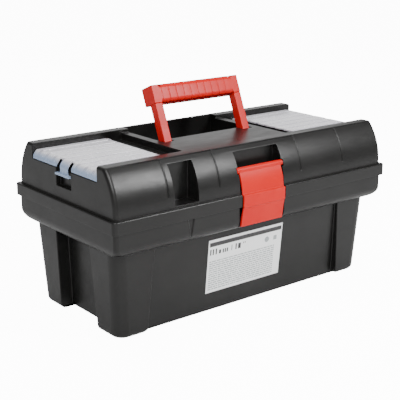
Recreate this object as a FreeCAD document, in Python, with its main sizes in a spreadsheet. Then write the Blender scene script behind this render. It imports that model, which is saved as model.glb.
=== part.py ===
import FreeCAD, Part
import math
import os
import Sketcher

# A carpenter's toolbox in moulded plastic: a tub on four hollow corner posts, a domed lid with two
# organiser compartments under clear covers, a front latch, a fold-down carrying handle and a lift-out
# tray.  Millimetres, +Z up, X along the length, front at -Y, feet on Z = 0, origin below the centre.

SIZES = [
    # overall
    ("box_length", 410.0), ("box_depth", 209.0), ("lid_top", 195.5), ("wall", 2.4),
    # tub: posts, panels between them and the collar above them
    ("floor_lift", 2.0), ("post_top", 104.0), ("post_inset_end", 12.2), ("post_inset_front", 18.3),
    ("post_draft", 5.7), ("post_corner", 15.0), ("post_foot_round", 7.0),
    ("post_front_width", 64.5), ("front_panel_flare", 8.0), ("front_panel_depth", 4.0),
    ("front_panel_lean", 5.0), ("end_panel_half", 35.0), ("end_panel_flare", 4.0),
    ("end_panel_depth", 15.5), ("collar_inset", 3.2), ("collar_bottom", 100.0),
    ("collar_curve", 13.0), ("collar_corner", 5.0), ("rim_top", 140.6),
    ("mark_left", -107.0), ("mark_right", -99.0), ("mark_bottom", 107.0), ("mark_depth", 1.5),
    # lid: band round the rim, dome and what is sunk in it
    ("band_bottom", 129.0), ("band_top", 143.5), ("band_corner", 5.0), ("band_bevel", 0.8),
    ("dome_inset", 4.3), ("dome_top_inset", 23.0), ("dome_radius", 72.0), ("dome_round", 3.0),
    ("dome_corner", 5.0), ("pocket_bottom", 183.5), ("pocket_half_depth", 67.3),
    ("end_wall_top", 178.1), ("catch_bay_half", 15.5), ("catch_bay_bottom", 158.0),
    ("catch_bay_depth", 6.0),
    ("plateau_half", 79.0), ("plateau_top", 191.3), ("bin_bottom", 156.0), ("bin_inner_end", 100.7),
    ("bin_ledge", 2.3), ("pit_half", 68.3), ("pit_front", 5.8), ("pit_reach", 27.5), ("pit_bottom", 164.0),
    ("recess_reach", 24.5), ("recess_bottom", 146.0), ("recess_top", 189.5),
    ("leg_notch_inner", 53.3), ("leg_notch_front", -5.0), ("latch_bay_half", 33.0),
    ("side_bay_left", -124.0), ("side_bay_right", -92.0), ("latch_notch", 4.1),
    ("crease_inner", 62.0), ("crease_outer", 132.0), ("crease_width", 1.6), ("crease_depth", 0.9),
    ("crease_bottom", 156.0), ("crease_foot_inset", 5.2),
    # clearances
    ("running_gap", 0.05), ("loose_gap", 0.4), ("slide_gap", 0.1),
    # lid hinge
    ("hinge_inset", 1.5), ("hinge_height", 128.75), ("knuckle_radius", 2.6),
    ("hinge_pin_radius", 1.2), ("hinge_place", 105.0), ("lid_knuckle_half", 12.0),
    ("body_knuckle_long", 11.0), ("gusset_drop", 12.0),
    # latch
    ("latch_half", 31.5), ("latch_thick", 2.6), ("latch_pivot_inset", 11.0),
    ("latch_pivot_up", 169.0), ("latch_barrel", 3.4), ("latch_ear", 3.1), ("latch_out", 1.1),
    ("latch_foot_inset", 3.6), ("latch_foot_up", 104.6), ("latch_lower_inset", 1.8),
    ("latch_lower_up", 117.0), ("latch_knee_up", 128.2), ("latch_shoulder_up", 142.4),
    ("latch_ridge_inset", 1.9), ("latch_ridge_rise", 0.8), ("latch_slope_inset", 3.6),
    ("latch_slope_up", 155.5), ("latch_neck_inset", 6.7), ("latch_neck_up", 164.0),
    ("latch_fold_inset", 0.0), ("latch_fold_drop", 1.0), ("latch_ridge_thick", 1.8),
    ("latch_ridge_fall", 2.4), ("latch_back_rise", 3.3), ("latch_top_up", 171.5), ("latch_top_inset", 9.9),
    ("catch_depth", 1.4), ("keeper_inset", 7.3), ("keeper_half", 34.0), ("keeper_bottom", 106.0),
    ("keeper_thick", 3.0), ("keeper_margin", 3.0), ("keeper_lap", 1.3), ("keeper_over", 2.0),
    ("catch_half", 28.0), ("catch_bottom", 110.0), ("catch_height", 4.0),
    ("bearing_wide", 6.4), ("bearing_half", 7.0), ("bearing_reach", 18.5),
    # carrying handle
    ("handle_pivot_back", 2.3), ("handle_pivot_up", 187.5), ("handle_lean", 22.3),
    ("leg_outer", 65.4), ("leg_width", 10.65), ("leg_thick", 11.7), ("leg_seam", 47.5),
    ("grip_top", 69.5), ("grip_back", 15.5), ("grip_round", 5.0), ("grip_edge", 1.0),
    ("core_thick", 7.0), ("core_rise", 12.0), ("core_under", 0.5), ("core_gap", 4.0), ("core_room", 0.1),
    ("rib_width", 9.3), ("rib_pitch", 10.6), ("rib_height", 0.6), ("rib_count", 10),
    ("handle_pin_radius", 2.5), ("boss_long", 5.0), ("bore_end", 0.5), ("pin_end", 0.5),
    ("boss_radius", 6.0),
    # organiser covers
    ("cover_inner", 102.0), ("cover_top", 188.1), ("cover_thick", 1.8),
    ("cover_gap", 0.5), ("rib_rise", 0.6), ("rib_wide", 1.2), ("rib_step", 16.0),
    ("rib_start", 4.0), ("rib_stop", 2.0),
    ("lip_inset", 5.0), ("lip_bottom", 178.6), ("lip_thick", 1.5), ("lip_round", 11.0),
    ("lip_straight", 2.0), ("lip_bend", 0.8), ("lip_run", 10.5), ("cover_pivot", 98.7),
    ("cover_pivot_up", 185.6),
    ("stub_radius", 1.6), ("stub_long", 3.2), ("lug_long", 5.0), ("lug_round", 1.9),
    ("tongue_half", 7.5), ("tab_half", 14.7), ("slot_half", 16.0), ("tab_bottom", 171.0),
    ("tab_thick", 2.2), ("tab_inset", 2.5),
    # organiser dividers
    ("divider_thick", 1.5), ("divider_height", 25.0), ("divider_first", 127.0),
    ("divider_second", 163.0), ("groove_depth", 0.8),
    # lift-out tray
    ("tray_gap_end", 34.0), ("tray_gap_front", 32.5), ("tray_bottom", 68.0),
    ("tray_draft", 2.0), ("tray_wall", 1.8), ("flange_gap", 1.3), ("flange_thick", 2.0),
    ("tray_handle_top", 138.0),
    ("tray_handle_thick", 3.0), ("hand_hole_half", 48.0), ("hand_hole_bottom", 110.0),
    ("tray_corner", 8.0), ("tray_divider_place", 60.0), ("tray_divider_thick", 1.5),
    ("guide_wide", 1.6), ("guide_reach", 2.0),
    ("handle_wall_half", 70.0), ("hand_hole_top", 130.0),
    # label
    ("label_width", 114.0), ("label_height", 66.5), ("label_centre", -5.0), ("label_bottom", 23.0),
    ("label_thick", 0.4),
]

doc = FreeCAD.newDocument("toolbox")
sheet = doc.addObject("Spreadsheet::Sheet", "sizes")


class Size:
    """A length driven by the sheet: its expression, and the number that it comes to."""

    def __init__(self, text, value):
        self.text = text
        self.value = value

    def joined(self, sign, other, value):
        return Size("(%s %s %s)" % (self.text, sign, size_of(other).text), value)

    def __add__(self, other):
        return self.joined("+", other, self.value + size_of(other).value)

    def __sub__(self, other):
        return self.joined("-", other, self.value - size_of(other).value)

    def __mul__(self, other):
        return self.joined("*", other, self.value * size_of(other).value)

    def __truediv__(self, other):
        return self.joined("/", other, self.value / size_of(other).value)

    def __neg__(self):
        return self * -1


def size_of(value):
    if isinstance(value, Size):
        return value
    return Size("(%.6f)" % value, float(value))


def fill_sheet():
    """Write every driving size in the sheet and return them by name."""
    sizes = {}
    for row, (alias, value) in enumerate(SIZES, start=1):
        sheet.set("A%d" % row, alias)
        sheet.set("B%d" % row, str(value))
        sheet.setAlias("B%d" % row, alias)
        sizes[alias] = Size("sizes." + alias, float(value))
    doc.recompute()
    return sizes


class Names:
    """The sheet's sizes as attributes."""

    def __init__(self, table):
        self.__dict__.update(table)


d = Names(fill_sheet())
half_length = d.box_length / 2
half_depth = d.box_depth / 2
dome_half_length = half_length - d.dome_inset
dome_half_depth = half_depth - d.dome_inset
front_panel_half = half_length - d.post_front_width
pit_back = half_depth - d.pit_reach
hinge_back = half_depth - d.hinge_inset
latch_pivot_back = d.latch_pivot_inset - half_depth
keeper_floor = half_depth - d.keeper_inset
EXTRA = 10.0        # how far a cutting tool runs past the material
LAP = 1.0           # how far two pieces that are joined run into each other
COVER_RIBS = 8
SIDES = (("left", -1), ("right", 1))


def bind(thing, prop, value):
    thing.setExpression(prop, size_of(value).text)


def place(thing, x, y, z):
    bind(thing, "Placement.Base.x", x)
    bind(thing, "Placement.Base.y", y)
    bind(thing, "Placement.Base.z", z)


# ---------------------------------------------------------------- Part primitives and booleans

def block(name, x, y, z):
    """A box between two places on each axis, given as pairs in rising order."""
    box = doc.addObject("Part::Box", name)
    bind(box, "Length", size_of(x[1]) - x[0])
    bind(box, "Width", size_of(y[1]) - y[0])
    bind(box, "Height", size_of(z[1]) - z[0])
    place(box, x[0], y[0], z[0])
    return box


def mirrored_block(name, side, x, y, z):
    """A block given for the right-hand side, on the side asked for."""
    if side < 0:
        x = (-size_of(x[1]), -size_of(x[0]))
    return block(name, x, y, z)


def rod(name, axis, radius, start, length):
    """A cylinder from start along +X, +Y or +Z."""
    turn = {"X": ((0, 1, 0), 90), "Y": ((1, 0, 0), -90), "Z": ((0, 0, 1), 0)}[axis]
    bar = doc.addObject("Part::Cylinder", name)
    bind(bar, "Radius", radius)
    bind(bar, "Height", length)
    bar.Placement.Rotation = FreeCAD.Rotation(FreeCAD.Vector(*turn[0]), turn[1])
    place(bar, *start)
    return bar


def fuse(name, pieces):
    made = doc.addObject("Part::MultiFuse", name)
    made.Shapes = pieces
    return made


def cut(name, base, tools):
    """Base less every tool."""
    made = doc.addObject("Part::Cut", name)
    made.Base = base
    made.Tool = tools[0] if len(tools) == 1 else fuse(name + "_tools", tools)
    return made


def common(name, pieces):
    made = doc.addObject("Part::MultiCommon", name)
    made.Shapes = pieces
    return made


def fillet(name, base, radius, wanted):
    """Round the edges of base that wanted() picks, by one radius."""
    doc.recompute()
    picked = [(number, radius.value, radius.value)
              for number, edge in enumerate(base.Shape.Edges, start=1) if wanted(edge)]
    made = doc.addObject("Part::Fillet", name)
    made.Base = base
    made.Edges = picked
    return made


# ---------------------------------------------------------------- sketches

PLANES = {
    "XY": FreeCAD.Rotation(),
    "XZ": FreeCAD.Rotation(FreeCAD.Vector(1, 0, 0), 90),
    "YZ": FreeCAD.Rotation(FreeCAD.Vector(1, 1, 1), 120),
}


def arc_between(start, end, radius):
    """The arc from start to end, anticlockwise, with its centre on the left."""
    chord = end - start
    reach = math.sqrt(radius ** 2 - (chord.Length / 2) ** 2)
    left = FreeCAD.Vector(-chord.y, chord.x, 0).normalize()
    centre = start + chord * 0.5 + left * reach
    first = math.atan2(start.y - centre.y, start.x - centre.x)
    last = math.atan2(end.y - centre.y, end.x - centre.x)
    circle = Part.Circle(centre, FreeCAD.Vector(0, 0, 1), radius)
    return Part.ArcOfCircle(circle, first, last if last > first else last + 2 * math.pi)


def draw_circle(sketch, across, up, radius):
    centre = FreeCAD.Vector(size_of(across).value, size_of(up).value, 0)
    up_axis = FreeCAD.Vector(0, 0, 1)
    sketch.addGeometry(Part.Circle(centre, up_axis, size_of(radius).value), False)
    sketch.addConstraint([Sketcher.Constraint("DistanceX", -1, 1, 0, 3, centre.x),
                          Sketcher.Constraint("DistanceY", -1, 1, 0, 3, centre.y),
                          Sketcher.Constraint("Radius", 0, size_of(radius).value)])
    for number, (label, value) in enumerate((("across", across), ("up", up),
                                             ("radius", radius))):
        sketch.renameConstraint(number, label)
        bind(sketch, "Constraints." + label, value)
    return sketch


def draw(sketch, corners):
    """Draw a closed outline, anticlockwise, through corners (across, up) or (across, up, radius).

    A radius makes the edge that leaves the corner an arc that bulges outwards.  One corner alone
    is the centre of a circle.
    """
    points = [FreeCAD.Vector(size_of(c[0]).value, size_of(c[1]).value, 0) for c in corners]
    count = len(corners)
    rules = []
    drives = []
    if count == 1:
        return draw_circle(sketch, *corners[0])
    for index, corner in enumerate(corners):
        start = points[index]
        end = points[(index + 1) % count]
        if len(corner) == 3:
            sketch.addGeometry(arc_between(start, end, size_of(corner[2]).value), False)
            rules.append(Sketcher.Constraint("Radius", index, size_of(corner[2]).value))
            drives.append((len(rules) - 1, "radius_%d" % index, corner[2]))
        else:
            sketch.addGeometry(Part.LineSegment(start, end), False)
        rules.append(Sketcher.Constraint("Coincident", index, 2, (index + 1) % count, 1))
        rules.append(Sketcher.Constraint("DistanceX", -1, 1, index, 1, start.x))
        drives.append((len(rules) - 1, "across_%d" % index, corner[0]))
        rules.append(Sketcher.Constraint("DistanceY", -1, 1, index, 1, start.y))
        drives.append((len(rules) - 1, "up_%d" % index, corner[1]))
    sketch.addConstraint(rules)
    for number, label, value in drives:
        sketch.renameConstraint(number, label)
        bind(sketch, "Constraints." + label, value)
    return sketch


def free_sketch(name, plane, offset, corners):
    """A sketch on a plane square to an axis, offset along that axis."""
    sketch = doc.addObject("Sketcher::SketchObject", name)
    sketch.Placement.Rotation = PLANES[plane]
    draw(sketch, corners)
    axis = {"XY": "z", "XZ": "y", "YZ": "x"}[plane]
    bind(sketch, "Placement.Base." + axis, offset)
    return sketch


def body_sketch(body, name, plane, offset, corners):
    """A sketch on one of a body's own origin planes, offset along the plane's normal."""
    sketch = body.newObject("Sketcher::SketchObject", name)
    origin = [part for part in body.Origin.OriginFeatures if part.Role == plane + "_Plane"][0]
    sketch.AttachmentSupport = [(origin, "")]
    sketch.MapMode = "FlatFace"
    draw(sketch, corners)
    bind(sketch, "AttachmentOffset.Base.z", offset)
    return sketch


def rectangle(x, y):
    """The corners of a rectangle between two places on each axis."""
    return [(x[0], y[0]), (x[1], y[0]), (x[1], y[1]), (x[0], y[1])]


def rounded(half_x, half_y, radius):
    """The corners of a centred rectangle with rounded corners."""
    x = size_of(half_x)
    y = size_of(half_y)
    r = size_of(radius)
    return [(r - x, -y), (x - r, -y, r), (x, r - y), (x, y - r, r),
            (x - r, y), (r - x, y, r), (-x, y - r), (-x, r - y, r)]


def loft(name, sections, ruled):
    made = doc.addObject("Part::Loft", name)
    made.Sections = sections
    made.Solid = True
    made.Ruled = ruled
    return made


def extrude(name, sketch, length):
    """A prism on a sketch, the same way both sides of it."""
    made = doc.addObject("Part::Extrusion", name)
    made.Base = sketch
    made.DirMode = "Normal"
    made.Solid = True
    made.Symmetric = True
    bind(made, "LengthFwd", length)
    return made


# ---------------------------------------------------------------- PartDesign features

def new_body(label):
    body = doc.addObject("PartDesign::Body", label)
    body.Label = label
    return body


def pad(body, name, sketch, length):
    """Pad a sketch by the same length both sides of its plane."""
    made = body.newObject("PartDesign::Pad", name)
    made.Profile = sketch
    made.SideType = "Symmetric"
    bind(made, "Length", length)
    body.Tip = made
    return made


def pocket(body, name, sketch, length):
    """Cut a sketch by the same length both sides of its plane, and check that it cut."""
    doc.recompute()
    before = body.Shape.Volume
    made = body.newObject("PartDesign::Pocket", name)
    made.Profile = sketch
    made.SideType = "Symmetric"
    bind(made, "Length", length)
    body.Tip = made
    doc.recompute()
    if body.Shape.Volume >= before:
        raise RuntimeError(name + " cut nothing")
    return made


def pattern(body, name, feature, axis, length, count):
    """Repeat a feature along one of the body's own axes."""
    made = body.newObject("PartDesign::LinearPattern", name)
    made.Originals = [feature]
    line = [part for part in body.Origin.OriginFeatures if part.Role == axis + "_Axis"][0]
    made.Direction = (line, [""])
    bind(made, "Length", length)
    bind(made, "Occurrences", count)
    body.Tip = made
    return made


def ends(edge):
    return [vertex.Point for vertex in edge.Vertexes]


# ---------------------------------------------------------------- the tub

def post_outline(level, inset):
    """The tub's plan below the collar: four corner posts with sunk panels between them.

    Level runs from 0 at the feet to 1 at the top of the posts; inset is measured inwards.
    """
    low = 1 - level
    r = d.post_corner - inset
    outer_x = half_length - d.post_inset_end - d.post_draft * low
    outer_y = half_depth - d.post_inset_front - d.post_draft * low
    x = outer_x - inset
    y = outer_y - inset
    side_x = front_panel_half + d.front_panel_flare * low + inset
    side_y = d.end_panel_half + d.end_panel_flare * low + inset
    sunk_x = x - d.end_panel_depth
    sunk_y = y - d.front_panel_depth - d.front_panel_lean * low
    return [(r - x, -y), (-side_x, -y), (-side_x, -sunk_y), (side_x, -sunk_y), (side_x, -y),
            (x - r, -y, r), (x, r - y), (x, -side_y), (sunk_x, -side_y), (sunk_x, side_y),
            (x, side_y), (x, y - r, r), (x - r, y), (side_x, y), (side_x, sunk_y),
            (-side_x, sunk_y), (-side_x, y), (r - x, y, r), (-x, y - r), (-x, side_y),
            (-sunk_x, side_y), (-sunk_x, -side_y), (-x, -side_y), (-x, r - y, r)]


def posts(name, inset, bottom):
    foot = free_sketch(name + "_foot", "XY", bottom, post_outline(0, inset))
    top = free_sketch(name + "_top", "XY", d.post_top, post_outline(1, inset))
    return loft(name, [foot, top], True)


def collar(name, inset, top):
    """The flared collar: a quarter ellipse out from the posts, then straight up to the rim."""
    steps = 5
    bottom = d.collar_bottom + inset
    sections = []
    for step in range(steps + 1):
        turn = math.radians(90 * (steps - step) / steps)
        drawn_in = 1 - math.cos(turn)
        x = half_length - d.collar_inset - (d.post_inset_end - d.collar_inset) * drawn_in
        y = half_depth - d.collar_inset - (d.post_inset_front - d.collar_inset) * drawn_in
        r = d.collar_corner + (d.post_corner - d.collar_corner) * drawn_in
        height = bottom + d.collar_curve * (1 - math.sin(turn))
        sections.append(free_sketch("%s_section_%d" % (name, step), "XY", height,
                                    rounded(x - inset, y - inset, r - inset)))
    x = half_length - d.collar_inset - inset
    y = half_depth - d.collar_inset - inset
    rim = [free_sketch("%s_rim_%d" % (name, level), "XY", height,
                       rounded(x, y, d.collar_corner - inset))
           for level, height in enumerate((bottom + d.collar_curve, top))]
    return [loft(name + "_curve", sections, False), loft(name + "_rim", rim, True)]


def hinge_rod(name, radius, place_x, start, length):
    return rod(name, "X", radius, (place_x + start, hinge_back, d.hinge_height), length)


def body_knuckles(side, place_x):
    """The two knuckles of a hinge that stand on the tub, each with its gusset."""
    made = []
    near = d.lid_knuckle_half + d.loose_gap
    for end, start in (("inner", -near - d.body_knuckle_long), ("outer", near)):
        label = "body_knuckle_%s_%s" % (side, end)
        made.append(hinge_rod(label, d.knuckle_radius, place_x, start, d.body_knuckle_long))
        left = place_x + start
        made.append(block(label + "_gusset", (left, left + d.body_knuckle_long),
                          (half_depth - d.collar_inset - d.wall / 2, hinge_back),
                          (d.hinge_height - d.gusset_drop, d.hinge_height)))
    return made


def hinge_bore(name, place_x):
    reach = d.lid_knuckle_half + d.loose_gap + d.body_knuckle_long + LAP
    return hinge_rod(name, d.hinge_pin_radius + d.running_gap, place_x, -reach, reach * 2)


def make_box_body():
    foot_x = front_panel_half + d.front_panel_flare
    foot_y = d.end_panel_half + d.end_panel_flare
    wide_x = half_length + EXTRA
    wide_y = half_depth + EXTRA
    under = (size_of(-EXTRA), d.floor_lift)
    outside = posts("posts", size_of(0), size_of(0))

    def is_outer_foot_edge(edge):
        points = ends(edge)
        centre = edge.CenterOfMass
        outer_x = half_length.value - d.post_inset_end.value - d.post_draft.value
        outer_y = half_depth.value - d.post_inset_front.value - d.post_draft.value
        low = all(abs(point.z) < 1e-6 for point in points)
        far_x = abs(centre.x) > outer_x - d.post_corner.value / 2
        far_y = abs(centre.y) > outer_y - d.post_corner.value / 2
        return low and (far_x or far_y)

    rounded_feet = fillet("tub_rounded_feet", outside, d.post_foot_round, is_outer_foot_edge)
    outside = cut("tub_on_feet", rounded_feet, [
        block("gap_between_ends", both_ways(foot_x), both_ways(wide_y), under),
        block("gap_between_sides", both_ways(wide_x), both_ways(foot_y), under)])
    keeper_back = keeper_floor - d.keeper_thick
    pieces = [outside] + collar("collar", size_of(0), d.rim_top)
    hollow = [posts("posts_hollow", d.wall, d.floor_lift + d.wall)]
    hollow += collar("collar_hollow", d.wall, d.rim_top + EXTRA)
    tub = cut("tub_shell", fuse("tub_outside", pieces), hollow)
    added = [tub, block("keeper_pad", both_ways(d.keeper_half + d.keeper_margin),
                        (-keeper_floor - d.keeper_lap, -keeper_back),
                        (d.keeper_bottom, d.hinge_height + d.keeper_over))]
    for side, sign in SIDES:
        added += body_knuckles(side, d.hinge_place * sign)
    tub = fuse("tub_with_knuckles", added)
    mark = free_sketch("collar_mark_sketch", "XZ", -half_depth,
                       [(d.mark_left, d.hinge_height),
                        ((d.mark_left + d.mark_right) / 2, d.mark_bottom),
                        (d.mark_right, d.hinge_height)])
    tools = [block("keeper_bay", (-d.keeper_half, d.keeper_half), (-wide_y, -keeper_floor),
                   (d.collar_bottom - EXTRA, d.hinge_height)),
             extrude("collar_mark", mark, (d.collar_inset + d.mark_depth) * 2)]
    for side, sign in SIDES:
        place_x = d.hinge_place * sign
        tools.append(hinge_bore("body_hinge_bore_" + side, place_x))
        near = d.lid_knuckle_half + d.loose_gap
        tools.append(hinge_rod("lid_knuckle_room_" + side, d.knuckle_radius + d.loose_gap,
                               place_x, -near, near * 2))
    tub = cut("tub_cut", tub, tools)
    catch = block("latch_catch", (-d.catch_half, d.catch_half),
                  (-keeper_floor - d.catch_depth, -keeper_back),
                  (d.catch_bottom, d.catch_bottom + d.catch_height))
    node("box_body", fuse("box_body", [tub, catch]))


# ---------------------------------------------------------------- the lid

def dome_profile(inset, bottom):
    """The lid's section across the box: curved front and back, flat top."""
    foot = dome_half_depth - inset
    top = half_depth - d.dome_top_inset - inset
    radius = d.dome_radius - inset
    return [(-foot, bottom), (foot, bottom), (foot, d.band_top, radius), (top, d.lid_top - inset),
            (-top, d.lid_top - inset, radius), (-foot, d.band_top)]


def dome(name, inset, bottom):
    sketch = free_sketch(name + "_section", "YZ", size_of(0), dome_profile(inset, bottom))
    return extrude(name, sketch, (dome_half_length - inset) * 2)


def rounded_dome():
    """The dome with its corners and its top edges rounded."""
    plain = dome("dome", size_of(0), d.band_top - d.wall)

    def is_end_corner(edge):
        low, high = sorted(point.z for point in ends(edge))
        return high - low > d.wall.value * 2

    def is_top_edge(edge):
        return all(abs(point.z - d.lid_top.value) < 1e-6 for point in ends(edge))

    upright = fillet("dome_end_corners", plain, d.dome_corner, is_end_corner)
    return fillet("dome_rounded", upright, d.dome_round, is_top_edge)


def band():
    """The band round the foot of the lid, with a bevelled upper edge."""
    levels = ((d.band_bottom, size_of(0)), (d.band_top - d.band_bevel, size_of(0)),
              (d.band_top, d.band_bevel))
    sections = [free_sketch("band_section_%d" % step, "XY", height,
                            rounded(half_length - inset, half_depth - inset,
                                    d.band_corner - inset))
                for step, (height, inset) in enumerate(levels)]
    return loft("band", sections, True)


def lid_cavity():
    """The lid's inside: the band's own room and the dome's."""
    levels = (d.band_bottom - EXTRA, d.band_top - d.wall)
    sections = [free_sketch("band_room_%d" % step, "XY", height,
                            rounded(half_length - d.wall, half_depth - d.wall,
                                    d.band_corner - d.wall))
                for step, height in enumerate(levels)]
    return [loft("band_room", sections, True),
            dome("dome_room", d.wall, d.band_top - d.wall - LAP)]


def both_ways(half):
    return (-half, half)


def bay(name, x, grow):
    """A bay sunk in the front of the dome, or the walls round it when it is grown."""
    return block(name, (size_of(x[0]) - grow, size_of(x[1]) + grow),
                 (-half_depth - EXTRA, grow + d.recess_reach - half_depth),
                 (d.recess_bottom - grow, grow + d.recess_top))


def lid_liner(outside):
    """The walls round everything that is sunk in the lid, trimmed to the dome."""
    top = d.lid_top + EXTRA
    w = d.wall
    walls = [block("pit_walls", both_ways(d.pit_half + w), (d.leg_notch_front - w, pit_back + w),
                   (d.pit_bottom - w, top)),
             block("plateau_walls", both_ways(d.plateau_half), both_ways(d.pocket_half_depth + w),
                   (d.plateau_top - w, top)),
             bay("latch_bay_walls", both_ways(d.latch_bay_half), w),
             bay("side_bay_walls", (d.side_bay_left, d.side_bay_right), w)]
    for side, sign in SIDES:
        walls.append(mirrored_block("pocket_walls_" + side, sign,
                                    (d.plateau_half - w, dome_half_length),
                                    both_ways(d.pocket_half_depth + w),
                                    (d.pocket_bottom - w, top)))
        walls.append(mirrored_block("bin_walls_" + side, sign,
                                    (d.bin_inner_end - w, dome_half_length),
                                    both_ways(d.pocket_half_depth - d.bin_ledge + w),
                                    (d.bin_bottom - w, d.pocket_bottom)))
        walls.append(mirrored_block("latch_bearing_" + side, sign,
                                    (d.latch_bay_half, d.latch_bay_half + d.bearing_wide),
                                    (-half_depth, d.bearing_reach - half_depth),
                                    (d.latch_pivot_up - d.bearing_half,
                                     d.latch_pivot_up + d.bearing_half)))
        start = d.pit_half if sign > 0 else -d.pit_half - w - d.boss_long
        walls.append(rod("handle_boss_" + side, "X", d.boss_radius,
                         (start, d.handle_pivot_back, d.handle_pivot_up), w + d.boss_long))
    return common("lid_liner", [outside, fuse("lid_walls", walls)])


def divider_places():
    return (("inner", d.divider_first), ("outer", d.divider_second))


def organiser_cuts(side, sign):
    """The cover's pocket, the bin under it and the cuts that serve the cover and the dividers."""
    bin_half = d.pocket_half_depth - d.bin_ledge
    bin_end = dome_half_length - d.wall
    beyond = half_length + EXTRA
    cuts = [mirrored_block("pocket_" + side, sign, (d.plateau_half, beyond),
                           both_ways(d.pocket_half_depth), (d.pocket_bottom, d.lid_top + EXTRA)),
            mirrored_block("bin_" + side, sign, (d.bin_inner_end, bin_end),
                           both_ways(bin_half), (d.bin_bottom, d.pocket_bottom + LAP)),
            mirrored_block("end_wall_gap_" + side, sign, (bin_end - d.bin_ledge * 2, beyond),
                           both_ways(d.pocket_half_depth), (d.end_wall_top, d.pocket_bottom + LAP))]
    reach = d.pocket_half_depth + d.stub_long + LAP
    cuts.append(rod("cover_sockets_" + side, "Y", d.stub_radius + d.running_gap,
                    (d.cover_pivot * sign, -reach, d.cover_pivot_up), reach * 2))
    for end, middle in divider_places():
        room = d.divider_thick / 2 + d.running_gap * 2
        cuts.append(mirrored_block("divider_groove_%s_%s" % (side, end), sign,
                                   (middle - room, middle + room),
                                   both_ways(bin_half + d.groove_depth),
                                   (d.bin_bottom, d.pocket_bottom + LAP)))
    return cuts


def catch_bay(side, sign):
    """The block inside the end wall that carries the finger bay under the cover's tab."""
    inner = dome_half_length - d.wall - d.catch_bay_depth
    return mirrored_block("catch_bay_block_" + side, sign, (inner, dome_half_length - LAP),
                          both_ways(d.catch_bay_half + d.wall),
                          (d.bin_bottom - LAP, d.end_wall_top))


def crease_tools(outside):
    """Shallow grooves down the front of the dome, which fade out above the band."""
    foot = half_depth - d.crease_foot_inset
    top = half_depth - d.dome_top_inset - d.crease_depth
    floor_section = free_sketch("crease_floor_section", "YZ", size_of(0), [
        (-foot, d.crease_bottom), (foot, d.crease_bottom), (foot, d.lid_top + EXTRA),
        (-top + d.crease_depth * 3, d.lid_top + EXTRA), (-top, d.lid_top, d.dome_radius)])
    floor = extrude("crease_floor", floor_section, half_length * 2)
    slabs = []
    for name, middle in (("far_left", -d.crease_outer), ("left", -d.crease_inner),
                         ("right", d.crease_inner), ("far_right", d.crease_outer)):
        slabs.append(block("crease_slab_" + name,
                           (middle - d.crease_width / 2, middle + d.crease_width / 2),
                           (-half_depth - EXTRA, -half_depth + d.dome_top_inset + LAP),
                           (d.crease_bottom, d.lid_top + EXTRA)))
    return cut("creases", fuse("crease_slabs", slabs), [floor])


def make_lid_shell():
    outside = rounded_dome()
    shell = cut("lid_thin", fuse("lid_outside", [outside, band()]), lid_cavity())
    pieces = [shell, lid_liner(outside)]
    for side, sign in SIDES:
        start = d.hinge_place * sign
        pieces.append(hinge_rod("lid_knuckle_" + side, d.knuckle_radius, start,
                                -d.lid_knuckle_half, d.lid_knuckle_half * 2))
    above = d.lid_top + EXTRA
    tools = [block("handle_pit", both_ways(d.pit_half), (d.pit_front, pit_back),
                   (d.pit_bottom, above)),
             block("plateau", both_ways(d.plateau_half + LAP), both_ways(d.pocket_half_depth),
                   (d.plateau_top, above)),
             bay("latch_bay", both_ways(d.latch_bay_half), size_of(0)),
             bay("side_bay", (d.side_bay_left, d.side_bay_right), size_of(0)),
             block("latch_notch", both_ways(d.latch_bay_half),
                   (-half_depth - EXTRA, d.latch_notch - half_depth),
                   (d.band_bottom - EXTRA, d.recess_bottom + LAP)),
             crease_tools(outside)]
    for side, sign in SIDES:
        tools += organiser_cuts(side, sign)
        tools.append(mirrored_block("leg_notch_" + side, sign, (d.leg_notch_inner, d.pit_half),
                                    (d.leg_notch_front, d.pit_front + LAP),
                                    (d.pit_bottom, above)))
        place_x = d.hinge_place * sign
        tools.append(hinge_bore("lid_hinge_bore_" + side, place_x))
        room = d.body_knuckle_long + d.loose_gap * 2
        for end, start in (("outer", d.lid_knuckle_half), ("inner", -d.lid_knuckle_half - room)):
            tools.append(hinge_rod("body_knuckle_room_%s_%s" % (side, end),
                                   d.knuckle_radius + d.loose_gap, place_x, start, room))
        depth = d.wall + d.boss_long - d.bore_end
        start = d.pit_half - LAP if sign > 0 else -d.pit_half - depth
        tools.append(rod("handle_bore_" + side, "X", d.handle_pin_radius + d.running_gap,
                         (start, d.handle_pivot_back, d.handle_pivot_up), depth + LAP))
        tools.append(ear_slot(side, sign))
    lid = cut("lid_cut", fuse("lid_joined", pieces), tools)
    blocks = fuse("catch_bay_blocks", [catch_bay(side, sign) for side, sign in SIDES])
    bays = [mirrored_block("catch_bay_" + side, sign,
                           (dome_half_length - d.catch_bay_depth, half_length + EXTRA),
                           both_ways(d.catch_bay_half), (d.catch_bay_bottom, d.end_wall_top + LAP))
            for side, sign in SIDES]
    node("lid_shell", cut("lid_shell", fuse("lid_with_bays", [lid, blocks]), bays))


def ear_slot(side, sign):
    """The slot, open to the front, that one of the latch's ears turns in."""
    room = d.latch_barrel + d.loose_gap
    inner = d.latch_bay_half - LAP
    outer = d.latch_half + d.latch_ear + d.loose_gap
    start = inner if sign > 0 else -outer
    round_end = rod("ear_round_" + side, "X", room,
                    (start, latch_pivot_back, d.latch_pivot_up), outer - inner)
    mouth = mirrored_block("ear_mouth_" + side, sign, (inner, outer),
                           (-half_depth - EXTRA, latch_pivot_back),
                           (d.latch_pivot_up - room, d.latch_pivot_up + room))
    return fuse("ear_slot_" + side, [round_end, mouth])


# ---------------------------------------------------------------- latch

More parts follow.
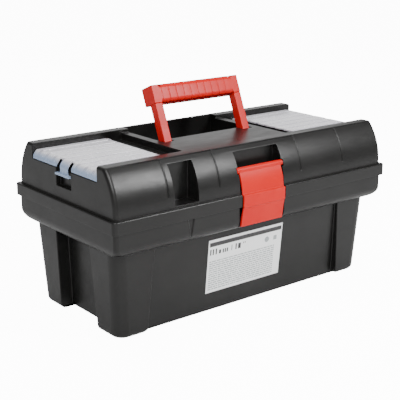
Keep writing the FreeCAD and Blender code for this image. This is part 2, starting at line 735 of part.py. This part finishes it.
def make_latch():
    """The front latch: a bent plate hung from two stub ears."""
    body = new_body("latch")
    up = d.latch_pivot_up
    back = latch_pivot_back
    face = -half_depth - d.latch_out
    outer = [(d.latch_foot_inset - half_depth, d.latch_foot_up),
             (d.latch_lower_inset - half_depth, d.latch_lower_up),
             (d.latch_fold_inset - half_depth, d.latch_knee_up - d.latch_fold_drop),
             (face, d.latch_knee_up), (face, d.latch_shoulder_up),
             (d.latch_ridge_inset - half_depth, d.latch_shoulder_up + d.latch_ridge_rise),
             (d.latch_slope_inset - half_depth, d.latch_slope_up),
             (d.latch_neck_inset - half_depth, d.latch_neck_up),
             (d.latch_top_inset - half_depth, d.latch_top_up)]
    behind = [(across + d.latch_thick, height) for across, height in reversed(outer)]
    ridge = d.latch_ridge_inset + d.latch_ridge_thick - half_depth
    ridge_up = d.latch_shoulder_up + d.latch_ridge_rise
    band_back = (face + d.latch_thick, d.latch_shoulder_up - d.latch_ridge_fall)
    inner = (behind[:3] + [(ridge, ridge_up + d.latch_back_rise), (ridge, ridge_up), band_back,
                          behind[5]] + behind[7:])
    plate = body_sketch(body, "latch_section", "YZ", size_of(0), outer + inner)
    pad(body, "latch_plate", plate, d.latch_half * 2)
    barrel = body_sketch(body, "latch_barrel_section", "YZ", size_of(0),
                         [(back, up, d.latch_barrel)])
    pad(body, "latch_barrel", barrel, (d.latch_half + d.latch_ear) * 2)
    node("latch", body)


# ---------------------------------------------------------------- carrying handle

def lean_back(body):
    """Stand a handle piece on its pivot, leaning towards the back."""
    body.Placement.Rotation = FreeCAD.Rotation(FreeCAD.Vector(-1, 0, 0), d.handle_lean.value)
    place(body, size_of(0), d.handle_pivot_back, d.handle_pivot_up)


def make_handle_bail():
    """The U-shaped bail: two legs, and a core that the grip closes over."""
    body = new_body("handle_bail")
    half = d.leg_thick / 2
    for side, sign in SIDES:
        middle = (d.leg_outer - d.leg_width / 2) * sign
        leg = body_sketch(body, "leg_section_" + side, "YZ", middle, [
            (-half, size_of(0), half), (size_of(0), -half, half), (half, size_of(0)),
            (half, d.leg_seam), (-half, d.leg_seam)])
        pad(body, "leg_" + side, leg, d.leg_width)
    reach = d.leg_outer - d.leg_width / 4
    core = body_sketch(body, "core_section", "XZ", size_of(0),
                       rectangle((-reach, reach), (d.leg_seam - d.core_under,
                                                      d.leg_seam + d.core_rise)))
    pad(body, "core", core, d.core_thick)
    under = d.leg_outer - d.leg_width
    gap = body_sketch(body, "core_gap_section", "XZ", size_of(0),
                      rectangle((-under, under), (d.leg_seam - LAP, d.leg_seam + d.core_gap)))
    pocket(body, "core_gap", gap, d.core_thick * 2)
    radius = d.handle_pin_radius + d.running_gap
    bore = body_sketch(body, "pivot_bore_section", "YZ", size_of(0),
                       [(size_of(0), size_of(0), radius)])
    pocket(body, "pivot_bore", bore, half_length)
    lean_back(body)
    node("handle_bail", body)


def grip_section(grow, corner):
    """The grip's section: a block with rounded corners, its front level with the legs'."""
    front = -d.leg_thick / 2 - grow
    back = d.grip_back + grow
    low = d.leg_seam - grow
    top = d.grip_top + grow
    r = corner + grow
    return [(front + r, low), (back - r, low, r), (back, low + r), (back, top - r, r),
            (back - r, top), (front + r, top, r), (front, top - r), (front, low + r, r)]


def make_handle_grip():
    """The ribbed grip, square over the legs and slotted underneath for the bail's core."""
    body = new_body("handle_grip")
    middle = body_sketch(body, "grip_section", "YZ", size_of(0),
                         grip_section(size_of(0), d.grip_round))
    pad(body, "grip_middle", middle, d.leg_outer * 2 - d.leg_width)
    for side, sign in SIDES:
        end = body_sketch(body, "end_section_" + side, "YZ",
                          (d.leg_outer - d.leg_width / 2) * sign,
                          grip_section(size_of(0), d.grip_edge))
        pad(body, "end_block_" + side, end, d.leg_width)
    first = d.rib_pitch * (1 - d.rib_count.value) / 2
    rib = body_sketch(body, "rib_section", "YZ", first, grip_section(d.rib_height, d.grip_round))
    rib_pad = pad(body, "rib", rib, d.rib_width)
    pattern(body, "ribs", rib_pad, "X", d.rib_pitch * (d.rib_count.value - 1), d.rib_count)
    reach = d.leg_outer - d.leg_width / 4 + d.running_gap * 2
    slot = body_sketch(body, "core_slot_section", "XZ", size_of(0),
                       rectangle((-reach, reach), (d.leg_seam - LAP,
                                                   d.leg_seam + d.core_rise + d.core_room)))
    pocket(body, "core_slot", slot, d.core_thick + d.core_room * 2)
    lean_back(body)
    node("handle_grip", body)


# ---------------------------------------------------------------- organiser covers and dividers

def cover_section(sign):
    """A cover's section along the box: a flat plate with a lip that hangs over the end."""
    thick = d.cover_thick
    lip_out = half_length - d.lip_inset
    lip_back = half_length - d.lip_run
    lip_in = lip_out - d.lip_thick
    under = d.cover_top - thick
    corners = [(d.cover_inner, under), (lip_back - d.lip_bend, under),
               (lip_in, d.lip_bottom + d.lip_straight - d.lip_bend / 2), (lip_in, d.lip_bottom),
               (lip_out, d.lip_bottom), (lip_out, d.lip_bottom + d.lip_straight, d.lip_round),
               (lip_back, d.cover_top), (d.cover_inner, d.cover_top)]
    if sign > 0:
        return corners
    # the mirrored outline runs the other way, so its arc leaves from the other end
    flipped = [(-corner[0], corner[1]) for corner in reversed(corners)]
    flipped[1] = flipped[1] + (d.lip_round,)
    return flipped


def make_cover(side, sign):
    label = "organiser_cover_" + side
    half = d.pocket_half_depth - d.cover_gap
    section = free_sketch(label + "_section", "XZ", size_of(0), cover_section(sign))
    plate = extrude(label + "_plate", section, half * 2)
    pieces = [plate]
    lip_out = half_length - d.lip_inset
    lip_back = half_length - d.lip_run
    lip_in = lip_out - d.lip_thick
    tab_out = half_length - d.tab_inset
    gap = d.lug_round
    for end, way in (("front", -1), ("back", 1)):
        lug_from = half - d.lug_long
        y = (lug_from, half) if way > 0 else (-half, -lug_from)
        pieces.append(mirrored_block(label + "_lug_" + end, sign,
                                     (d.cover_pivot, d.cover_inner + LAP), y,
                                     (d.cover_pivot_up - gap, d.cover_pivot_up + gap)))
        pieces.append(rod(label + "_lug_round_" + end, "Y", gap,
                          (d.cover_pivot * sign, y[0], d.cover_pivot_up), d.lug_long))
        start = half - LAP if way > 0 else -half - d.stub_long
        pieces.append(rod(label + "_stub_" + end, "Y", d.stub_radius,
                          (d.cover_pivot * sign, start, d.cover_pivot_up),
                          d.stub_long + LAP))
    for number in range(COVER_RIBS):
        middle = d.rib_step * (number - (COVER_RIBS - 1) / 2)
        pieces.append(mirrored_block("%s_rib_%d" % (label, number + 1), sign,
                                     (d.cover_inner + d.rib_start, lip_back - d.rib_stop),
                                     (middle - d.rib_wide / 2, middle + d.rib_wide / 2),
                                     (d.cover_top - d.rib_rise, d.cover_top + d.rib_rise)))
    pieces.append(mirrored_block(label + "_tongue", sign, (lip_in, lip_out),
                                 both_ways(d.tongue_half), (d.tab_bottom, d.lip_bottom + LAP)))
    pieces.append(mirrored_block(label + "_tab", sign, (lip_in, tab_out),
                                 both_ways(d.tab_half), (d.tab_bottom, d.tab_bottom + d.tab_thick)))
    slots = []
    for end, y in (("front", (-d.slot_half, -d.tongue_half)),
                   ("back", (d.tongue_half, d.slot_half))):
        slots.append(mirrored_block("%s_slot_%s" % (label, end), sign,
                                    (lip_back - LAP, lip_out + LAP), y,
                                    (d.tab_bottom + d.tab_thick, d.cover_top + LAP)))
    node(label, cut(label, fuse(label + "_joined", pieces), slots))


def make_dividers():
    for side, sign in SIDES:
        for end, middle in divider_places():
            label = "organiser_divider_%s_%s" % (side, end)
            reach = d.pocket_half_depth - d.bin_ledge + d.groove_depth - d.running_gap * 2
            made = mirrored_block(label, sign,
                                  (middle - d.divider_thick / 2, middle + d.divider_thick / 2),
                                  both_ways(reach), (d.bin_bottom, d.bin_bottom + d.divider_height))
            node(label, made)


# ---------------------------------------------------------------- tray, pins and label

def tray_loft(name, inset, bottom, upper):
    """The tapered tray's outline between two heights, drawn in by an inset."""
    x = half_length - d.tray_gap_end - inset
    y = half_depth - d.tray_gap_front - inset
    low = free_sketch(name + "_low", "XY", bottom,
                      rounded(x - d.tray_draft, y - d.tray_draft, d.tray_corner - inset))
    high = free_sketch(name + "_high", "XY", upper, rounded(x, y, d.tray_corner - inset))
    return loft(name, [low, high], True)


def make_inner_tray():
    """The lift-out tray: it hangs by its flange on the shelf inside the collar."""
    shelf = d.collar_bottom + d.wall
    top = shelf + d.flange_thick
    flange_x = half_length - d.post_inset_end - d.wall - d.flange_gap
    flange_y = half_depth - d.post_inset_front - d.wall - d.flange_gap
    rim = [free_sketch("flange_%d" % step, "XY", height,
                       rounded(flange_x, flange_y, d.post_corner))
           for step, height in enumerate((shelf, top))]
    outside = fuse("tray_outside", [tray_loft("tray_outer", size_of(0), d.tray_bottom, top),
                                    loft("tray_flange", rim, True)])
    floor = d.tray_bottom + d.tray_wall
    hollow = cut("tray_hollow", outside, [
        tray_loft("tray_inner", d.tray_wall, floor, top + LAP)])
    room = tray_loft("tray_room", d.tray_wall / 2, d.tray_bottom + d.tray_wall / 2, top)
    half_thick = d.tray_handle_thick / 2
    walls = [block("tray_long_wall", both_ways(half_length), both_ways(half_thick),
                   (d.tray_bottom, top))]
    for side, sign in SIDES:
        near = d.tray_divider_place - d.tray_divider_thick / 2 - d.slide_gap
        far = d.tray_divider_place + d.tray_divider_thick / 2 + d.slide_gap
        for end, x in (("near", (near - d.guide_wide, near)), ("far", (far, far + d.guide_wide))):
            long_wall = (-half_thick - d.guide_reach, size_of(0))
            front_wall = (-half_depth, d.tray_gap_front + d.tray_draft + d.tray_wall
                          + d.guide_reach - half_depth)
            for wall, y in (("middle", long_wall), ("front", front_wall)):
                walls.append(mirrored_block("guide_%s_%s_%s" % (side, end, wall), sign, x, y,
                                            (d.tray_bottom, top - d.flange_thick)))
    pieces = [hollow, common("tray_walls", [room, fuse("tray_wall_blocks", walls)]),
              block("tray_handle_wall", both_ways(d.handle_wall_half), both_ways(half_thick),
                    (floor, d.tray_handle_top))]
    hole = block("tray_hand_hole", both_ways(d.hand_hole_half), both_ways(half_thick + LAP),
                 (d.hand_hole_bottom, d.hand_hole_top))
    node("inner_tray", cut("inner_tray", fuse("tray_joined", pieces), [hole]))


def make_tray_dividers():
    """Two loose walls that slide down between the tray's guides."""
    floor = d.tray_bottom + d.tray_wall
    top = d.collar_bottom + d.wall
    for side, sign in SIDES:
        label = "tray_divider_" + side
        room = tray_loft(label + "_room", d.tray_wall + d.slide_gap, floor,
                         top + d.flange_thick + LAP)
        slab = mirrored_block(label + "_slab", sign,
                              (d.tray_divider_place - d.tray_divider_thick / 2,
                               d.tray_divider_place + d.tray_divider_thick / 2),
                              (-half_depth, -d.tray_handle_thick / 2 - d.slide_gap),
                              (floor, top - d.flange_thick))
        node(label, common(label, [room, slab]))


def make_pins():
    reach = d.lid_knuckle_half + d.loose_gap + d.body_knuckle_long
    for side, sign in SIDES:
        place_x = d.hinge_place * sign
        node("hinge_pin_" + side, hinge_rod("hinge_pin_" + side, d.hinge_pin_radius, place_x,
                                            -reach, reach * 2))
        inner = d.leg_outer - d.leg_width + d.pin_end
        outer = d.pit_half + d.wall + d.boss_long - d.bore_end - d.pin_end
        start = inner if sign > 0 else -outer
        node("handle_pin_" + side, rod("handle_pin_" + side, "X", d.handle_pin_radius,
                                       (start, d.handle_pivot_back, d.handle_pivot_up),
                                       outer - inner))


def make_label():
    """A blank label flat on the sloping front panel."""
    rise = d.post_draft + d.front_panel_lean
    slope = rise / d.post_top
    lean = math.atan(slope.value)
    panel_foot = (half_depth - d.post_inset_front - d.post_draft - d.front_panel_depth
                  - d.front_panel_lean)
    made = doc.addObject("Part::Box", "label")
    bind(made, "Length", d.label_width)
    bind(made, "Width", d.label_thick)
    bind(made, "Height", d.label_height)
    made.Placement.Rotation = FreeCAD.Rotation(FreeCAD.Vector(1, 0, 0), math.degrees(lean))
    place(made, d.label_centre - d.label_width / 2,
          -panel_foot - slope * d.label_bottom - d.label_thick / math.cos(lean),
          d.label_bottom)
    node("label", made)


# ---------------------------------------------------------------- build, check and write

nodes = {}


def node(name, thing):
    thing.Label = name
    nodes[name] = thing


def write_parts():
    """Recompute, refuse anything broken and write every node's file."""
    doc.recompute()
    for thing in doc.Objects:
        if "Invalid" in thing.State or "Error" in thing.State:
            raise RuntimeError("%s did not build: %s" % (thing.Name, thing.State))
    for name, thing in nodes.items():
        shape = thing.Shape
        if shape.isNull() or not shape.isValid() or not shape.Solids:
            raise RuntimeError(name + " has no valid solid")
    os.makedirs("parts", exist_ok=True)
    for name, thing in nodes.items():
        thing.Shape.exportStep("parts/%s.step" % name)
        print("%-32s solids %d volume %.0f" % (name, len(thing.Shape.Solids),
                                               thing.Shape.Volume))


make_box_body()
make_lid_shell()
make_latch()
make_handle_bail()
make_handle_grip()
for side_name, side_sign in SIDES:
    make_cover(side_name, side_sign)
make_dividers()
make_inner_tray()
make_tray_dividers()
make_pins()
make_label()
write_parts()
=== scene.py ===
import math

import bmesh
import bpy
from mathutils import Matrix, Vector


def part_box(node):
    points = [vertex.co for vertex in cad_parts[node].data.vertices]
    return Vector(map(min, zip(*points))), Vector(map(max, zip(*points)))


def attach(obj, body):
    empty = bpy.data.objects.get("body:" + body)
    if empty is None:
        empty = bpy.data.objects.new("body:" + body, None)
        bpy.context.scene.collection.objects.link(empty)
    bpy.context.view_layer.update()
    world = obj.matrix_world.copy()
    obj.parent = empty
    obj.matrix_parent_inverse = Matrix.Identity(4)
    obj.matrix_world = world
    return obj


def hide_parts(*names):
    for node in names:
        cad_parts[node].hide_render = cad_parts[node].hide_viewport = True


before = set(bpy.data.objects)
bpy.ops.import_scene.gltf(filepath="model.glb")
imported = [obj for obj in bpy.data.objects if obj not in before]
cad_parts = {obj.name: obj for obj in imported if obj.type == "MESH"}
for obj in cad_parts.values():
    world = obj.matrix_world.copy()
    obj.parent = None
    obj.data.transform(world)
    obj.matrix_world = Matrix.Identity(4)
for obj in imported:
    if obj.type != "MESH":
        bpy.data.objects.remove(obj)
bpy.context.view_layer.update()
MM = 0.001
RIB_STEP = 0.016            # between the ribs on the organiser covers
PANEL_FOOT = 0.0715         # how far the front panel stands forward at the ground
PANEL_SLOPE = 10.7 / 104.0  # how far it leans forward for each unit that it rises
LABEL_THICK = 0.4 * MM
PRINT_LIFT = 0.04 * MM      # how far the printing stands off the label
STUDIO_LIGHT = 0.26         # the surroundings' brightness, as the toolbox sees them
BACKDROP_LIGHT = 12.0       # the floor and surroundings as the camera sees them: white
YAW = 38.55
PITCH = 16.15
ROLL = -0.04
PIXELS_WIDE = 400.0
FOCAL_PIXELS = 950.0
SENSOR = 36.0


# ---------------------------------------------------------------- node helpers

class Shader:
    """A material under construction: short calls for the nodes that it needs."""

    def __init__(self, name, color, roughness, **sockets):
        self.material = bpy.data.materials.new(name)
        self.material.use_nodes = True
        self.tree = self.material.node_tree
        self.bsdf = self.tree.nodes["Principled BSDF"]
        self.bsdf.inputs["Base Color"].default_value = (*color, 1.0)
        self.bsdf.inputs["Roughness"].default_value = roughness
        for socket, value in sockets.items():
            self.bsdf.inputs[socket.replace("_", " ")].default_value = value
        place = self.node("ShaderNodeTexCoord")
        self.place = place.outputs["Object"]

    def node(self, kind, **settings):
        made = self.tree.nodes.new(kind)
        for key, value in settings.items():
            setattr(made, key, value)
        return made

    def link(self, source, target):
        self.tree.links.new(source, target)

    def noise(self, scale, detail=3.0, roughness=0.5, stretch=(1.0, 1.0, 1.0)):
        mapping = self.node("ShaderNodeMapping")
        mapping.inputs["Scale"].default_value = stretch
        self.link(self.place, mapping.inputs["Vector"])
        made = self.node("ShaderNodeTexNoise")
        made.inputs["Scale"].default_value = scale
        made.inputs["Detail"].default_value = detail
        made.inputs["Roughness"].default_value = roughness
        self.link(mapping.outputs["Vector"], made.inputs["Vector"])
        return made.outputs["Fac"]

    def spread(self, value, low, high, to_low, to_high):
        """Map a value's range to another one."""
        made = self.node("ShaderNodeMapRange")
        made.inputs["From Min"].default_value = low
        made.inputs["From Max"].default_value = high
        made.inputs["To Min"].default_value = to_low
        made.inputs["To Max"].default_value = to_high
        self.link(value, made.inputs["Value"])
        return made.outputs["Result"]

    def maths(self, operation, first, second=None):
        made = self.node("ShaderNodeMath", operation=operation)
        for number, value in enumerate((first, second)):
            if value is None:
                continue
            if isinstance(value, (int, float)):
                made.inputs[number].default_value = value
            else:
                self.link(value, made.inputs[number])
        return made.outputs["Value"]

    def mix(self, factor, first, second):
        made = self.node("ShaderNodeMix", data_type="RGBA")
        self.link(factor, made.inputs["Factor"])
        for label, value in (("A", first), ("B", second)):
            socket = [s for s in made.inputs if s.name == label and s.type == "RGBA"][0]
            if isinstance(value, tuple):
                socket.default_value = (*value, 1.0)
            else:
                self.link(value, socket)
        return [s for s in made.outputs if s.type == "RGBA"][0]

    def bump(self, heights):
        """Chain (height, depth in metres, strength) bumps, finest last."""
        previous = None
        for height, depth, strength in heights:
            made = self.node("ShaderNodeBump")
            made.inputs["Strength"].default_value = strength
            made.inputs["Distance"].default_value = depth
            self.link(height, made.inputs["Height"])
            if previous is not None:
                self.link(previous, made.inputs["Normal"])
            previous = made.outputs["Normal"]
        self.link(previous, self.bsdf.inputs["Normal"])

    def painted_edge_highlight(self, amount):
        """How far a place is on an outer edge, from 0 to amount, broken up by noise: a painted
        highlight along the edges.
        """
        geometry = self.node("ShaderNodeNewGeometry")
        edge = self.spread(geometry.outputs["Pointiness"], 0.52, 0.6, 0.0, amount)
        return self.maths("MULTIPLY", edge, self.spread(self.noise(240.0), 0.35, 0.65, 0.3, 1.0))


def moulded(name, color, pale, roughness, grain, sheen_break, edge_highlight_strength, shine=0.36):
    """Moulded plastic: a fine spark-eroded grain, faint flow marks and painted highlights along
    the outer edges.
    """
    made = Shader(name, color, roughness, Specular_IOR_Level=shine)
    clouds = made.noise(26.0, 4.0, 0.6)
    tone = made.spread(clouds, 0.3, 0.7, 0.0, 0.35)
    # Paler base colour from random tone and from a painted highlight along the outer edges
    tone_and_edge_highlight = made.maths("MAXIMUM", tone, made.painted_edge_highlight(edge_highlight_strength))
    made.link(made.mix(tone_and_edge_highlight, color, pale), made.bsdf.inputs["Base Color"])
    smears = made.noise(60.0, 5.0, 0.65, (0.35, 1.0, 1.0))
    made.link(made.spread(smears, 0.25, 0.75, roughness - sheen_break, roughness + sheen_break),
              made.bsdf.inputs["Roughness"])
    made.bump([(made.noise(9.0, 2.0), 0.0012, 0.10),
               (made.noise(1500.0, 2.0), grain, 0.35)])
    return made.material


def clear_cover():
    """Milky clear plastic: pale flats with painted shade lines beside the ribs, and a bluer lip.
    """
    made = Shader("clear_plastic", (0.80, 0.79, 0.83), 0.22, Transmission_Weight=0.16,
                  IOR=1.49, Coat_Weight=0.25)
    split = made.node("ShaderNodeSeparateXYZ")
    made.link(made.place, split.inputs["Vector"])
    out = made.maths("ABSOLUTE", split.outputs["X"])
    lip = made.spread(out, 0.1955, 0.1995, 0.0, 1.0)
    clouds = made.spread(made.noise(45.0, 4.0), 0.3, 0.7, 0.0, 0.2)
    # Painted shade: thin dark lines beside each rib, mixed into the milky tone
    along = made.maths("FRACT", made.maths("DIVIDE", split.outputs["Y"], RIB_STEP))
    from_rib = made.maths("ABSOLUTE", made.maths("SUBTRACT", along, 0.5))
    rib_shade_lines = made.maths("COMPARE", from_rib, 0.075)
    rib_shade_lines.node.inputs[2].default_value = 0.035
    milk_and_rib_shade = made.mix(made.maths("MAXIMUM", clouds, rib_shade_lines), (0.86, 0.85, 0.89), (0.30, 0.28, 0.36))
    made.link(made.mix(lip, milk_and_rib_shade, (0.34, 0.44, 0.62)), made.bsdf.inputs["Base Color"])
    made.link(made.spread(made.noise(300.0, 3.0), 0.3, 0.7, 0.16, 0.3),
              made.bsdf.inputs["Roughness"])
    made.bump([(made.noise(35.0, 2.0), 0.0006, 0.25), (made.noise(900.0), 0.00003, 0.2)])
    return made.material


def paper(name, color, speckle):
    """Coated label film, faintly mottled."""
    made = Shader(name, color, 0.42)
    fibres = made.noise(700.0, 4.0, 0.7, (1.0, 1.0, 2.0))
    made.link(made.mix(made.spread(fibres, 0.3, 0.7, 0.0, 1.0), color, speckle),
              made.bsdf.inputs["Base Color"])
    made.bump([(made.noise(60.0, 3.0), 0.0004, 0.12), (fibres, 0.00002, 0.2)])
    return made.material


# The seventh argument sets how strong the painted edge highlight is
BLACK = moulded("black_plastic", (0.0052, 0.0050, 0.0047), (0.013, 0.0124, 0.0115), 0.34, 0.00006,
                0.06, 0.6)
FINE_BLACK = moulded("fine_black_plastic", (0.008, 0.008, 0.008), (0.02, 0.02, 0.02), 0.42,
                     0.00004, 0.06, 0.4)
RED = moulded("red_plastic", (0.56, 0.0055, 0.0035), (0.68, 0.024, 0.015), 0.34, 0.00003, 0.06,
              0.5, 0.22)
GREY = moulded("grey_plastic", (0.05, 0.05, 0.052), (0.09, 0.09, 0.09), 0.45, 0.00005, 0.05, 0.3)
STEEL = moulded("steel_wire", (0.5, 0.5, 0.5), (0.62, 0.62, 0.62), 0.3, 0.00001, 0.08, 0.4)
STEEL.node_tree.nodes["Principled BSDF"].inputs["Metallic"].default_value = 1.0
CLEAR = clear_cover()
LABEL = paper("label_film", (0.92, 0.93, 0.93), (0.86, 0.87, 0.87))
INK = paper("label_ink", (0.012, 0.012, 0.013), (0.05, 0.05, 0.05))
GREY_INK = paper("label_grey_ink", (0.26, 0.29, 0.29), (0.40, 0.43, 0.43))


# ---------------------------------------------------------------- pieces

def wear(obj, material):
    """Give an object one material."""
    obj.data.materials.clear()
    obj.data.materials.append(material)


def applied(obj):
    """Swap an object's mesh for what its modifiers make of it."""
    bpy.context.view_layer.update()
    graph = bpy.context.evaluated_depsgraph_get()
    mesh = bpy.data.meshes.new_from_object(obj.evaluated_get(graph))
    obj.modifiers.clear()
    obj.data = mesh
    return mesh


def settle(obj, crease_degrees=32.0):
    """Shade an object smooth away from its sharp edges, its large faces kept flat."""
    mesh = applied(obj)
    mesh.shade_smooth()
    mesh.set_sharp_from_angle(angle=math.radians(crease_degrees))
    flat = obj.modifiers.new("flat_faces", "WEIGHTED_NORMAL")
    flat.keep_sharp = True
    flat.weight = 90
    applied(obj)
    return obj


def linked(name, mesh):
    """A new object for a mesh, in the scene."""
    obj = bpy.data.objects.new(name, mesh)
    bpy.context.scene.collection.objects.link(obj)
    return obj


def kept_inside(mesh, node):
    """Draw a mesh in to the box of the node that it stands for."""
    low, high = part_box(node)
    for vertex in mesh.vertices:
        vertex.co = [min(max(vertex.co[n], low[n]), high[n]) for n in range(3)]


def softened(node, name, body, material, width, segments=2, joined=True):
    """A node's shape as a new piece, its flat faces joined up and its sharp edges rounded."""
    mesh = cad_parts[node].data.copy()
    shape = bmesh.new()
    shape.from_mesh(mesh)
    bmesh.ops.remove_doubles(shape, verts=shape.verts, dist=2e-6)
    if joined:
        bmesh.ops.dissolve_limit(shape, angle_limit=math.radians(0.8), verts=shape.verts,
                                 edges=shape.edges, delimit=set())
    shape.to_mesh(mesh)
    shape.free()
    obj = linked(name, mesh)
    bevel = obj.modifiers.new("edges", "BEVEL")
    bevel.width = width
    bevel.segments = segments
    bevel.limit_method = "ANGLE"
    bevel.angle_limit = math.radians(35.0)
    bevel.use_clamp_overlap = False
    bevel.miter_outer = "MITER_ARC"
    kept_inside(applied(obj), node)
    settle(obj)
    wear(obj, material)
    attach(obj, body)
    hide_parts(node)
    return obj


softened("box_body", "tub", "box", BLACK, 0.9 * MM, 3)
softened("lid_shell", "lid", "lid", BLACK, 0.6 * MM)
softened("latch", "latch_plate", "latch_body", RED, 0.5 * MM, 3)
softened("handle_bail", "handle_legs", "handle", RED, 0.9 * MM, 3)
softened("handle_grip", "grip", "handle", RED, 0.35 * MM)
for side in ("left", "right"):
    softened("organiser_cover_" + side, "cover_" + side, "cover_" + side, CLEAR,
             0.12 * MM, 1, False)
softened("inner_tray", "tray", "tray", FINE_BLACK, 0.5 * MM)
for name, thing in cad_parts.items():
    if thing.hide_render:
        continue
    finish = {"organiser_divider": GREY, "tray_divider": GREY, "hinge_pin": STEEL,
              "handle_pin": FINE_BLACK, "label": LABEL}
    wear(thing, [m for key, m in finish.items() if name.startswith(key)][0])


# ---------------------------------------------------------------- label print

LEAN = math.atan(PANEL_SLOPE)
label_low, label_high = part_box("label")


def on_label(across, up, lift):
    """A point on the label: across from its left edge and up from its foot, in metres."""
    height = label_low.z + up * math.cos(LEAN)
    back = -PANEL_FOOT - PANEL_SLOPE * height
    raised = LABEL_THICK + lift
    return Vector((label_low.x + across, back - raised * math.cos(LEAN),
                   height - raised * math.sin(LEAN)))


def printed(name, outlines, material):
    """Flat printed shapes on the label, as outlines of (across, up) in millimetres."""
    shape = bmesh.new()
    for outline in outlines:
        shape.faces.new([shape.verts.new(on_label(x * MM, z * MM, PRINT_LIFT))
                         for x, z in outline])
    mesh = bpy.data.meshes.new(name)
    shape.to_mesh(mesh)
    shape.free()
    obj = linked(name, mesh)
    wear(obj, material)
    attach(obj, "box")
    return obj


def disc(x, z, radius, sides=28):
    return [(x + radius * math.cos(2 * math.pi * n / sides),
             z + radius * math.sin(2 * math.pi * n / sides)) for n in range(sides)]


def bar(x, z, long, high):
    return [(x, z), (x + long, z), (x + long, z + high), (x, z + high)]


def words(z, start, end, high, seed):
    """A line of grey bars that stands for small print."""
    made = []
    x = start
    step = seed
    while x < end:
        step = (step * 37 + 11) % 101
        long = 1.6 + step * 0.055
        made.append(bar(x, z, min(long, end - x), high))
        x += long + 1.0
    return made


def stroke(x, high=7.2, wide=1.9):
    return bar(x, 47.6, wide, high)


printed("label_band", [bar(1.6, 58.1, 110.8, 5.2)], INK)
printed("label_size_marks", [stroke(2.6), stroke(6.4), stroke(10.8), stroke(15.8, 4.8, 3.0),
                             stroke(21.4, 4.8), stroke(24.4, 4.8), stroke(27.4, 4.8),
                             stroke(34.6, 7.0, 1.0), stroke(40.6), stroke(44.6, 6.8, 4.2),
                             bar(52.4, 52.6, 1.1, 2.0), bar(54.8, 52.6, 1.1, 2.0)], INK)
printed("label_icons", [disc(90.0, 49.6, 3.6), bar(100.6, 46.8, 5.2, 5.4)], GREY_INK)
printed("label_small_print", [shape for line in range(14)
                              for shape in words(38.6 - line * 2.7, 2.6, 103.0, 1.35,
                                                 line * 7 + 3)], GREY_INK)


# ---------------------------------------------------------------- floor, light and camera

def floor():
    """A pale floor that looks white to the camera but lights the toolbox only as paint does."""
    shape = bmesh.new()
    bmesh.ops.create_grid(shape, x_segments=1, y_segments=1, size=30.0)
    mesh = bpy.data.meshes.new("floor")
    shape.to_mesh(mesh)
    shape.free()
    obj = linked("floor", mesh)
    made = Shader("floor_paint", (0.86, 0.86, 0.86), 0.6)
    paint = made.spread(made.noise(3.0), 0.3, 0.7, 0.84, 0.88)
    made.link(paint, made.bsdf.inputs["Base Color"])
    seen = made.node("ShaderNodeLightPath").outputs["Is Camera Ray"]
    made.bsdf.inputs["Emission Color"].default_value = (1.0, 1.0, 1.0, 1.0)
    made.link(made.maths("MULTIPLY", seen, BACKDROP_LIGHT), made.bsdf.inputs["Emission Strength"])
    wear(obj, made.material)


def area_light(name, place, aim, size, power, color=(1.0, 1.0, 1.0)):
    lamp = bpy.data.lights.new(name, "AREA")
    lamp.shape = "RECTANGLE"
    lamp.size, lamp.size_y = size
    lamp.energy = power
    lamp.color = color
    obj = bpy.data.objects.new(name, lamp)
    obj.location = place
    obj.rotation_euler = (Vector(aim) - Vector(place)).to_track_quat("-Z", "Y").to_euler()
    bpy.context.scene.collection.objects.link(obj)


floor()
area_light("key", (-1.2, -1.5, 1.5), (-0.05, -0.05, 0.15), (1.3, 1.0), 50.0)
area_light("highlight", (0.75, -1.15, 0.95), (-0.1, -0.09, 0.17), (0.30, 0.55), 20.0)
area_light("top", (0.1, 0.3, 1.9), (0.0, 0.0, 0.15), (1.8, 1.4), 20.0)
area_light("back_fill", (0.9, 1.6, 0.8), (0.0, 0.0, 0.18), (1.6, 1.0), 5.0)
world = bpy.data.worlds.new("studio")
world.use_nodes = True
tree = world.node_tree
seen = tree.nodes.new("ShaderNodeLightPath").outputs["Is Camera Ray"]
strength = tree.nodes.new("ShaderNodeMapRange")
strength.inputs["To Min"].default_value = STUDIO_LIGHT
strength.inputs["To Max"].default_value = BACKDROP_LIGHT
tree.links.new(seen, strength.inputs["Value"])
tree.links.new(strength.outputs["Result"], tree.nodes["Background"].inputs["Strength"])
tree.nodes["Background"].inputs["Color"].default_value = (1.0, 1.0, 1.0, 1.0)
bpy.context.scene.world = world

lens = bpy.data.cameras.new("camera")
lens.sensor_width = SENSOR
lens.lens = SENSOR * FOCAL_PIXELS / PIXELS_WIDE
camera = bpy.data.objects.new("camera", lens)
camera.location = (-0.706, -0.872, 0.433)
camera.rotation_euler = (math.radians(90.0 - PITCH), math.radians(ROLL), math.radians(-YAW))
bpy.context.scene.collection.objects.link(camera)
bpy.context.scene.camera = camera
